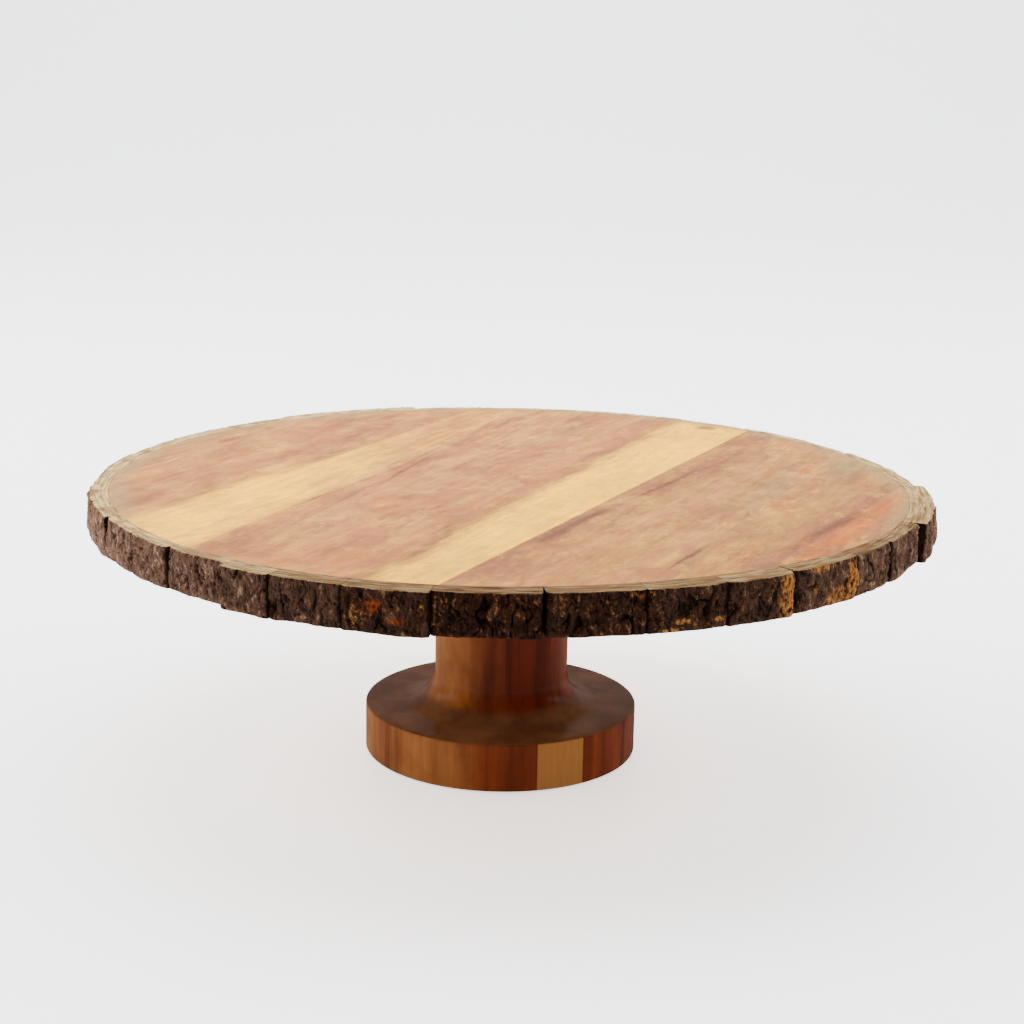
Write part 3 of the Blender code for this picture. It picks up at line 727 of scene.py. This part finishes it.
def arc(centre, radius, start, end, steps):
    """Points along an arc between two angles in degrees."""
    turns = [math.radians(start + (end - start) * i / steps) for i in range(steps + 1)]
    return [(centre[0] + radius * math.cos(a), centre[1] + radius * math.sin(a)) for a in turns]


PEDESTAL_STEPS = 256
COUNTERBORE_RADIUS, BOLT_HOLE_RADIUS = 10 * MM, 3.5 * MM


def pedestal_profile():
    """The turned outline, bottom up, with softly rounded edges."""
    base_radius, stem_radius, flange_radius = 51.5 * MM, 25.2 * MM, 36 * MM
    base_top = PEDESTAL_BOTTOM + 18 * MM
    flange_bottom = PEDESTAL_TOP - 6 * MM
    edge, cove, upper_cove = 0.7 * MM, 12 * MM, 9 * MM
    return [
        *arc((base_radius - edge, PEDESTAL_BOTTOM + edge), edge, -90, 0, 4),
        *[(base_radius, PEDESTAL_BOTTOM + z * MM) for z in (4, 8, 12)],
        *arc((base_radius - edge, base_top - edge), edge, 0, 90, 4),
        *[(r * MM, base_top) for r in (48, 44, 40.5)],
        *arc((stem_radius + cove, base_top + cove), cove, 270, 180, 18),
        *[(stem_radius, base_top + z * MM) for z in (18, 26, 34, 42, 50)],
        *arc((stem_radius + upper_cove, flange_bottom - upper_cove), upper_cove, 180, 90, 12),
        *arc((flange_radius - edge, flange_bottom + edge), edge, -90, 0, 3),
        (flange_radius, PEDESTAL_TOP),
    ]


PALE_STAVE = srgb(112, 75, 37)
END_GRAIN, WORN_END_GRAIN, END_SPECKS = srgb(60, 43, 32), srgb(86, 64, 48), srgb(46, 24, 14)
# Kinds of wood: base, dark and light colours
RED_BROWN = (srgb(72, 28, 10), srgb(52, 18, 6), srgb(88, 38, 15))
DEEP_RED = (srgb(66, 20, 5), srgb(48, 13, 3), srgb(80, 27, 8))
ORANGE_BROWN = (srgb(102, 63, 31), srgb(78, 42, 21), srgb(117, 75, 39))
STAVE_LEAN = -0.6  # the change from the left colours to the right ones slants across the staves by this
STAVE_FADE = (-21, 1)  # and takes place between these, in mm
# Each stave's colours and where its pattern starts: staves with the same start look cut from one board
LEFT_WOOD = (ORANGE_BROWN, RED_BROWN, 0)
RIGHT_WOOD = (RED_BROWN, RED_BROWN, 21)
STAVE_LOOKS = {
    "pedestal_stave_1": LEFT_WOOD, "pedestal_stave_2": LEFT_WOOD, "pedestal_stave_3": LEFT_WOOD,
    "pedestal_stave_4": (DEEP_RED, DEEP_RED, 7),
    "pedestal_stave_5": RIGHT_WOOD, "pedestal_stave_6": RIGHT_WOOD, "pedestal_stave_7": RIGHT_WOOD,
    "flange_offcut_left": LEFT_WOOD, "flange_offcut_right": RIGHT_WOOD,
}


def make_staves():
    under, over = PEDESTAL_BOTTOM - OVERCUT, PEDESTAL_TOP + OVERCUT
    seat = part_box("washer")[1].z + FOOT_LOOSE
    cutters = [hole(COUNTERBORE_RADIUS, under, seat), hole(BOLT_HOLE_RADIUS, seat - 1 * MM, over)]
    cutters += [hole_for(node, LOOSE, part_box(node)[0].z - LOOSE, over) for node in ("dowel_1", "dowel_2")]
    cutters += [hole_for(node, FOOT_LOOSE, under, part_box(node)[1].z + FOOT_LOOSE)
                for node in ("rubber_foot_1", "rubber_foot_2", "rubber_foot_3", "rubber_foot_4")]
    waist = (PEDESTAL_BOTTOM + PEDESTAL_TOP) / 2
    for node, (*colours, seed) in STAVE_LOOKS.items():
        low, high = offsets_of(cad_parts[node], STAVE_ANGLE)
        box_low, box_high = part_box(node)
        bm = turned_bmesh(pedestal_profile(), PEDESTAL_STEPS)
        first = node in ("pedestal_stave_1", "flange_offcut_left")
        last = node in ("pedestal_stave_7", "flange_offcut_right")
        keep_between(bm, STAVE_ANGLE, None if first else low - CAD_HALF_GAP + STAVE_HALF_GAP,
                     None if last else high + CAD_HALF_GAP - STAVE_HALF_GAP)
        # The outermost staves and their offcuts don't run through the stem
        if box_high.z < waist:
            cut_off(bm, Vector((0, 0, waist)), Vector((0, 0, 1)))
        if box_low.z > waist:
            cut_off(bm, Vector((0, 0, waist)), Vector((0, 0, -1)))
        holes = [cutter for cutter in cutters if crosses(cutter, low, high)]
        mesh = cut_meshes(bm, holes)
        material = stave_material(node, colours, seed, pale_end=node == "pedestal_stave_4")
        finish_piece(f"{node}_wood", mesh, material, node, sharp=40)
    for cutter in cutters:
        bpy.data.objects.remove(cutter)


def crosses(cutter, low, high):
    """Whether the cutter reaches into the stave between two offsets."""
    cutter_low, cutter_high = offsets_of(cutter, STAVE_ANGLE)
    return cutter_low < high and cutter_high > low


# Bark patches: degrees from +X, height from 0 at the bottom to 1 at the top, half width in degrees, half
# height in mm, amount
OCHRE = (
    (-75.3, 0.93, 0.8, 1.4, 0.8), (-73.2, 0.9, 0.7, 1.3, 0.7), (-69.3, 0.24, 1.8, 1.3, 0.7),
    (-71.1, 0.04, 1.8, 1.2, 0.8), (-67.6, 0.75, 0.5, 1.2, 0.5), (-64.6, 0.22, 0.9, 1.2, 0.7),
    (-54.7, 0.5, 1.5, 9, 1.2), (-48.6, 0.94, 3.2, 1.6, 0.8), (-44.9, 0.2, 3.4, 3.2, 1.2),
    (-42.6, 0.6, 1.4, 7, 1.2), (-49.6, 0.5, 1.6, 3, 0.6), (-28.1, 0.25, 0.9, 1.6, 0.5),
    (-99.5, 0.6, 0.6, 4, 0.5), (-4, 0.95, 3, 1.5, 0.6), (61, 0.4, 2, 3, 0.8), (128, 0.5, 1.6, 4, 0.8),
    (84, 0.8, 2, 1.6, 0.7), (149, 0.3, 1.5, 2.4, 0.7), (-107.3, 0.4, 0.9, 6, 0.6), (-17.6, 0.9, 0.8, 2, 0.9),
)
RUST = (
    (-105.1, 0.6, 2, 5, 0.6), (-102.4, 0.3, 2.4, 3, 0.55), (-99.3, 0.5, 0.9, 6, 0.45),
    (-121.6, 0.08, 1.5, 1.2, 0.5), (-117.1, 0.12, 1.2, 1.2, 0.5), (-65.6, 0.55, 0.8, 2.5, 0.5),
    (-74.6, 0.85, 1, 1.6, 0.6), (-57.1, 0.85, 1, 2, 0.5), (-33.6, 0.6, 1.5, 3, 0.35), (32, 0.5, 3, 4, 0.5),
    (101, 0.4, 2.5, 4, 0.5), (136, 0.7, 2, 3, 0.5),
)
# Hollows and ridges: degrees, height, half width in degrees, half height in mm, mm deep or high
HOLLOWS = (
    (-117.6, 0.28, 0.55, 2.4, 1.8), (-68.9, 0.62, 1.5, 2.6, 1.2), (-66.4, 0.4, 0.35, 3.2, 1.2),
    (-52.4, 0.5, 0.8, 5, 1.2), (-130.2, 0.5, 0.25, 5, 1), (-108, 0.5, 0.25, 6, 1.1),
    (-112.1, 0.62, 0.3, 4, 0.9), (-58.6, 0.6, 0.35, 3.4, 1.1), (-26.1, 0.5, 0.4, 5, 0.9),
    (-19.6, 0.5, 0.55, 9, 1.5), (44, 0.5, 0.8, 4, 1.4), (111, 0.4, 0.8, 3, 1.5), (160, 0.6, 0.8, 3, 1.3),
    (-158.6, 0.4, 0.35, 5, 1), (-149.6, 0.5, 0.35, 5, 1),
)
RIDGES = (
    (-42.3, 0.5, 1.1, 7, 1), (-54.9, 0.5, 1.1, 7, 0.9), (-104.4, 0.7, 1.3, 3.6, 0.7),
    (-61.6, 0.5, 1.2, 6, 0.4), (-12, 0.4, 2, 5, 0.8), (70, 0.5, 1.6, 6, 0.9), (122, 0.5, 1.8, 6, 0.8),
)
# How pale each block is, from the one at the left end, anticlockwise: partly the bark's own colour and partly
# painted light, paler towards the ends where light falls from the sides, darkest at the front
TONES_AND_SIDE_LIGHT = (
    1.0, 1.0, 0.95, 0.78, 0.6, 0.45, 0.3, 0.2, 0.06, 0.0, 0.02, 0.06, 0.12, 0.26, 0.42, 0.4, 0.52,
    0.6, 0.65, 0.7, 0.8, 0.85, 0.9, 0.9, 0.9, 0.9, 0.9, 0.9, 0.9, 0.9, 0.95, 1.0, 1.0,
)
# How much painted sheen each block's sawn top has, in the same order: much at the sides and back, where
# glancing light shines on it, little at the front
SAWN_PAINTED_SHEEN = (
    0.85, 0.9, 0.9, 0.8, 0.65, 0.5, 0.4, 0.15, 0.1, 0.0, 0.05, 0.1, 0.2, 0.15, 0.05, 0.15, 0.45, 0.62,
    0.75, 0.85,
    1.0, 1.0, 1.0, 0.95, 0.95, 0.95, 1.0, 1.0, 1.0, 1.0, 1.0, 1.0, 0.95,
)
# How far each block's side stands proud of its CAD block, in mm
PROUD = (0.2, -0.1, 0.3, 0.0, -0.3, 0.3, 0.0, 0.3, -0.1, 0.3, -0.2)
THICKNESS = (BOARD_TOP - BOARD_BOTTOM) / MM
RIM_MM = 153  # the rim's radius, roughly
OWN_PATTERN = 60  # how far apart, in the noise, one block's pattern is from the next one's
MESH_STEP = 0.38 * MM
TOP_POINTS, SIDE_POINTS, BOTTOM_POINTS = 14, 38, 9
END_ROUNDING, OPEN_END_ROUNDING = 0.8 * MM, 1.5 * MM
OPEN_SPLIT = 0.9 * MM  # a CAD gap between blocks that is wider than this is an open split
CLOSED_SPLIT = 0.16 * MM
SIDES_START = -0.45  # the sine of the angle where the front ends
SIDE_SHUT = 0.6  # the share of an open split's width that is closed outside, past the front


def block_place(node):
    """Where a CAD bark block is: its first and last angle on its outer side, and how far out it reaches."""
    points = np.array([vertex.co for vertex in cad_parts[node].data.vertices])
    radius = np.hypot(points[:, 0], points[:, 1])
    outer = points[radius > radius.max() - 4 * MM]
    middle = math.atan2(points[:, 1].mean(), points[:, 0].mean())
    turned = (np.arctan2(outer[:, 1], outer[:, 0]) - middle + math.pi) % (2 * math.pi) - math.pi
    return middle + turned.min(), middle + turned.max(), radius.max()


def patch(angles, heights, places):
    """How much of the listed patches lies at each place on the bark."""
    total = np.zeros(len(angles))
    for degrees, height, half_degrees, half_height, amount in places:
        away = (np.degrees(angles) - degrees + 180) % 360 - 180
        far = (away / half_degrees) ** 2 + ((heights - height) * THICKNESS / half_height) ** 2
        total = np.maximum(total, amount * np.exp(-far))
    return total


def bark_surface(angles, heights, number):
    """How far the bark's side stands out, in mm, and a value from about -1 to 1 at each place that darkens
    the colour in cracks, gullies and hollows and lightens it on crests and ridges: partly the bark's own
    colour, partly painted shade and highlight. Each block has a pattern of its own."""
    rim = np.column_stack([np.cos(angles) * RIM_MM, np.sin(angles) * RIM_MM,
                           heights * THICKNESS + OWN_PATTERN * number])
    bent = rim + np.column_stack([noise3(rim / 5, 50 + axis) for axis in range(3)]) * (2.2, 2.2, 3.0)
    lumps = layered(rim / (9, 9, 12), 1, 2)
    wrinkles = crested(bent / (1.7, 1.7, 4.6), 2, 2)
    creases = crested(bent / (0.9, 0.9, 2.4), 3, 1)
    plates = smooth(noise3(bent / (4.5, 4.5, 6), 6), -0.03, 0.06)
    plates += smooth(noise3(bent / (3.0, 3.0, 6), 16), 0.1, 0.16)
    gullies = np.exp(-(noise3(bent / (3.8, 3.8, 13), 4) / 0.05) ** 2)
    gullies *= smooth(noise3(rim / (7, 7, 12), 5), -0.3, 0.1)
    grit = noise3(rim / 0.6, 7)
    hollow = patch(angles, heights, HOLLOWS)
    ridge = patch(angles, heights, RIDGES)
    detail = (0.34 * (wrinkles - 0.4) + 0.22 * (creases - 0.4) + 0.4 * (plates - 0.7) + 0.1 * grit
              - 0.9 * gullies)
    worn = np.exp(-heights * THICKNESS / 0.9) + np.exp(-(1 - heights) * THICKNESS / 0.9)
    out = 0.5 * lumps + detail * (1 - 0.75 * worn) - hollow + ridge
    relief_shading = (0.8 * (wrinkles - 0.5) + 0.4 * (creases - 0.5) + 0.2 * lumps + 0.3 * (plates - 0.7)
              + 0.25 * grit - gullies - 0.6 * hollow + 0.3 * ridge)
    return out, relief_shading


def along_rim(angles, width, seed):
    """Noise along the rim, with features about width mm long."""
    points = np.column_stack([np.cos(angles), np.sin(angles), np.zeros(len(angles))]) * RIM_MM / width
    return layered(points, seed, 2)


def make_bark_block(number, places, material):
    """One block of bark, as a closed shell: sawn top, rough side, sawn bottom and flat ends."""
    node = f"bark_block_{number:02d}"
    start, end, reach = places[number - 1]
    before = (start - places[number - 2][1]) % (2 * math.pi)
    after = (places[number % len(places)][0] - end) % (2 * math.pi)
    middle_edge = float(board_edge((start + end) / 2))
    open_before, open_after = (gap * middle_edge > OPEN_SPLIT for gap in (before, after))
    # An open split keeps its width outside, or a share of it at the sides and back, and closes up towards
    # the planks. A closed one is closed all through.
    shut = 0.0 if math.sin((start + end) / 2) < SIDES_START else SIDE_SHUT
    shut_before, shut_after = (shut if is_open else 1.0 for is_open in (open_before, open_after))
    closing_before, closing_after = ((gap - CLOSED_SPLIT / middle_edge) / 2 for gap in (before, after))
    start -= shut_before * closing_before
    end += shut_after * closing_after
    steps = max(12, int((end - start) * reach / MESH_STEP))
    angles = np.linspace(start, end, steps + 1)

    inner = board_edge(angles) + 0.2 * MM
    from_start, to_end = (angles - start) * reach, (end - angles) * reach
    from_end = np.minimum(from_start, to_end)
    nearest_open = np.where(from_start < to_end, open_before, open_after)
    rounding = np.where(nearest_open, OPEN_END_ROUNDING, END_ROUNDING)
    closing = closing_after * (1 - shut_after) * np.exp(-(to_end / (3 * MM)) ** 2)
    closing -= closing_before * (1 - shut_before) * np.exp(-(from_start / (3 * MM)) ** 2)
    nearness = np.exp(-(from_end / (0.8 * MM)) ** 1.3)

    bottom_edge = BOARD_BOTTOM + (0.4 * along_rim(angles, 11, 40) + 0.1 * along_rim(angles, 2.5, 41)) * MM
    top_chips = np.clip(0.6 * along_rim(angles, 2.2, 42) + 0.3 * along_rim(angles, 0.9, 43), 0, 1) * 0.45 * MM
    worn_top = np.clip(0.55 + 0.7 * along_rim(angles, 5, 44), 0, 1)

    shares = np.linspace(0, 1, SIDE_POINTS)  # down the side
    out, relief_shading = bark_surface(np.repeat(angles, SIDE_POINTS), 1 - np.tile(shares, len(angles)), number)
    out = reach + (out.reshape(-1, SIDE_POINTS) + PROUD[number % len(PROUD)]) * MM
    # Painted shade: the side darkens close to the block's ends, in the splits between blocks
    relief_shading = relief_shading.reshape(-1, SIDE_POINTS) - 0.9 * np.exp(-(from_end / (0.55 * MM)) ** 1.5)[:, None]
    out -= 0.6 * MM * np.exp(-shares * THICKNESS / 0.5) + 0.5 * MM * np.exp(-(1 - shares) * THICKNESS / 0.5)
    out -= (rounding * nearness)[:, None]

    side_z = BOARD_TOP - shares * (BOARD_TOP - bottom_edge)[:, None] - top_chips[:, None] * (1 - shares) ** 4
    rows, kinds, looks = [], [], []
    top_share = np.linspace(0, 1, TOP_POINTS + 1)[:-1] ** 0.8
    bottom_share = np.linspace(0, 1, BOTTOM_POINTS + 1)[1:]
    for i in range(len(angles)):
        top_r = inner[i] + (out[i, 0] - inner[i]) * top_share
        top_z = BOARD_TOP - top_chips[i] * np.exp(-(out[i, 0] - top_r) / (0.5 * MM))
        top_z[0] = BOARD_TOP
        low_r = out[i, -1] + (inner[i] - out[i, -1]) * bottom_share
        low_z = BOARD_BOTTOM + (bottom_edge[i] - BOARD_BOTTOM) * np.exp(-(out[i, -1] - low_r) / (1.5 * MM))
        radius = np.concatenate([top_r, out[i], low_r])
        z = np.concatenate([top_z, side_z[i], low_z])
        depth = np.clip((reach - 1.5 * MM - radius) / (reach - 1.5 * MM - inner[i]), 0, 1) ** 0.7
        turn = angles[i] + closing[i] * depth
        rows.append(np.column_stack([radius * np.cos(turn), radius * np.sin(turn), z]))
        kept_top = 1 - worn_top[i] * np.exp(-(out[i, 0] - top_r) / (0.9 * MM))
        near_top = np.concatenate([kept_top, 0.8 - smooth(shares, 0.0, 0.03), np.zeros(BOTTOM_POINTS)])
        near_low = np.zeros(len(z))
        near_low[-BOTTOM_POINTS:] = smooth(out[i, -1] - low_r, 0.3 * MM, 1.2 * MM)
        kinds.append(np.maximum(near_top, near_low))
        looks.append(np.concatenate([np.zeros(TOP_POINTS), relief_shading[i], np.full(BOTTOM_POINTS, -0.1)]))

    count = len(rows[0])
    points = np.vstack(rows)
    faces = []
    for i in range(len(rows) - 1):
        for j in range(count):
            k = (j + 1) % count
            faces.append((i * count + j, i * count + k, (i + 1) * count + k, (i + 1) * count + j))
    faces.append(tuple(range(count))[::-1])
    faces.append(tuple((len(rows) - 1) * count + j for j in range(count)))
    mesh = bpy.data.meshes.new(node)
    mesh.from_pydata(points.tolist(), [], faces)
    bm = bmesh.new()
    bm.from_mesh(mesh)
    bmesh.ops.recalc_face_normals(bm, faces=bm.faces)
    bm.to_mesh(mesh)
    bm.free()

    corners = np.zeros(len(mesh.loops), dtype=np.int32)
    mesh.loops.foreach_get("vertex_index", corners)
    flat_angles = np.repeat(angles, count)
    heights = (points[:, 2] - BOARD_BOTTOM) / (BOARD_TOP - BOARD_BOTTOM)
    # Each row's last value is the one on the flat ends: the -0.5 in the first row paints shade on them, in
    # the splits between blocks
    for name, values, at_ends in (
        ("relief_shading", np.concatenate(looks), -0.5),
        ("sawn", np.concatenate(kinds), 0.0),
        ("ochre", patch(flat_angles, heights, OCHRE), 0.0),
        ("rust", patch(flat_angles, heights, RUST), 0.0),
        ("tone_and_side_light", np.full(len(points), TONES_AND_SIDE_LIGHT[number - 1]), 0.0),
        ("sawn_painted_sheen", np.full(len(points), SAWN_PAINTED_SHEEN[number - 1]), 0.0),
    ):
        spread = values[corners].astype(np.float32)
        spread[-2 * count:] = at_ends
        mesh.attributes.new(name, "FLOAT", "CORNER").data.foreach_set("value", spread)
    finish_piece(f"{node}_bark", mesh, material, node, sharp=60)


def make_bark():
    places = [block_place(f"bark_block_{number:02d}") for number in range(1, 34)]
    material = bark_material()
    for number in range(1, 34):
        make_bark_block(number, places, material)


def dress_hardware():
    """Better materials on the CAD nodes that keep their shape."""
    zinc = metal_material("zinc_steel", (0.56, 0.57, 0.6, 1), 0.34)
    brass = metal_material("brass_metal", (0.72, 0.5, 0.2, 1), 0.3)
    beech, rubber = dowel_material(), rubber_material()
    dressed = {"bolt": zinc, "washer": zinc, "threaded_insert": brass, "dowel_1": beech, "dowel_2": beech}
    dressed.update({f"rubber_foot_{number}": rubber for number in (1, 2, 3, 4)})
    for node, material in dressed.items():
        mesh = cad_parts[node].data
        mesh.materials.clear()
        mesh.materials.append(material)


# ---------------------------------------------------------------- studio

def make_floor():
    """A pale floor that curves up into a wall behind the stand."""
    near, far, curve, height, half = -3.0, 1.7, 0.8, 2.6, 4.0
    profile = [(near, 0.0), (-1.0, 0.0), (0.0, 0.0), (far, 0.0)]
    profile += [(far + curve * math.sin(a), curve * (1 - math.cos(a)))
                for a in np.linspace(0, math.pi / 2, 17)[1:]]
    profile.append((far + curve, height))
    points, faces = [], []
    for y, z in profile:
        points += [(-half, y, z), (half, y, z)]
    for i in range(len(profile) - 1):
        faces.append((2 * i, 2 * i + 1, 2 * i + 3, 2 * i + 2))
    mesh = bpy.data.meshes.new("studio_floor")
    mesh.from_pydata(points, [], faces)
    mesh.shade_smooth()
    floor = add_object("studio_floor", mesh)
    shader = Shader("studio_floor", Base_Color=(0.93, 0.935, 0.94, 1), Roughness=0.4, Specular_IOR_Level=0.12,
                    Emission_Color=(0.97, 0.99, 1.0, 1), Emission_Strength=1.2)
    mesh.materials.append(shader.material)


def area_light(name, place, target, size, energy, colour=(1, 1, 1)):
    light = bpy.data.lights.new(name, "AREA")
    light.shape = "RECTANGLE"
    light.size, light.size_y = size
    light.energy = energy
    light.color = colour
    holder = add_object(name, light)
    holder.location = place
    holder.rotation_euler = (Vector(target) - Vector(place)).to_track_quat("-Z", "Y").to_euler()


def make_lights():
    world = bpy.data.worlds.new("studio")
    bpy.context.scene.world = world
    world.use_nodes = True
    background = world.node_tree.nodes["Background"]
    background.inputs["Color"].default_value = (0.95, 0.97, 1.0, 1)
    background.inputs["Strength"].default_value = 1.0
    area_light("left", (-1.5, 0.3, 1.0), (0, 0, 0.08), (1.4, 1.2), 56, (1.0, 0.98, 0.96))
    area_light("right", (1.6, 0.4, 1.0), (0, 0, 0.08), (1.2, 1.0), 32, (1.0, 0.98, 0.96))
    area_light("top", (0.0, 0.5, 1.8), (0, 0, 0.1), (1.8, 1.4), 50)


def make_camera():
    pitch, roll = 0.2373, 0.0187
    camera = bpy.data.cameras.new("camera")
    camera.lens, camera.sensor_width = 67.6, 36
    camera.clip_start, camera.clip_end = 0.05, 50
    holder = add_object("camera", camera)
    turn = Matrix.Rotation(math.pi / 2 - pitch, 4, "X") @ Matrix.Rotation(roll, 4, "Z")
    holder.matrix_world = Matrix.Translation((0.00105, -0.70194, 0.26128)) @ turn
    bpy.context.scene.camera = holder


make_planks()
make_staves()
make_bark()
dress_hardware()
make_floor()
make_lights()
make_camera()
